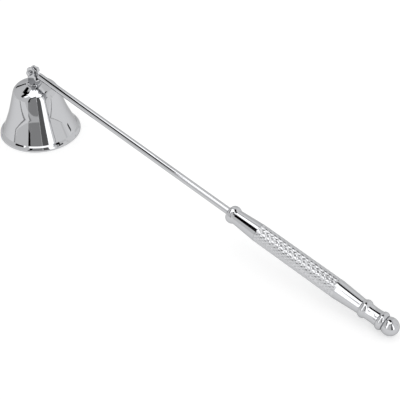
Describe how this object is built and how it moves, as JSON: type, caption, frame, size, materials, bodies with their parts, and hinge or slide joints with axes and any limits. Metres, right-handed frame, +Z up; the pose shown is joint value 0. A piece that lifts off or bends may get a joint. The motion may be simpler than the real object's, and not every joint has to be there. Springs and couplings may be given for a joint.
{
  "type": "candle snuffer",
  "caption": "Polished candle snuffer: small flared bell on a swinging clevis hinge, long thin rod, knurled turned handle and ball finial, lying on its bell and ball.",
  "frame": {"origin": "on the table, under the middle of the snuffer's length and width as it lies at rest on the bell's rim and the ball", "axes": "+Z up; +X along the rod's heading from the bell to the ball finial; +Y across, along the hinge pin"},
  "size_m": [0.2306, 0.04, 0.0363],
  "materials": {
    "polished_chrome": "mirror polished plating",
    "knurled_chrome": "plated over fine diamond knurling",
    "plated_steel": "plain nickel plated hardware"
  },
  "bodies": {
    "handle": {"snuffer_rod": "polished_chrome", "front_ferrule": "polished_chrome", "grip_sleeve": "knurled_chrome", "tail_cone": "polished_chrome", "tail_spool": "polished_chrome", "ball_finial": "polished_chrome"},
    "bell": {"bell_shell": "polished_chrome", "hinge_clevis": "polished_chrome", "hinge_pin": "polished_chrome", "pin_cap": "polished_chrome", "crown_washer": "plated_steel", "crown_screw": "plated_steel"}
  },
  "joints": [
    {"name": "bell_swing", "type": "hinge", "parent": "handle", "child": "bell", "pos_m": [-0.09534, 0, 0.0337], "axis": [0, 1, 0], "range_deg": [-22, 218]}
  ]
}
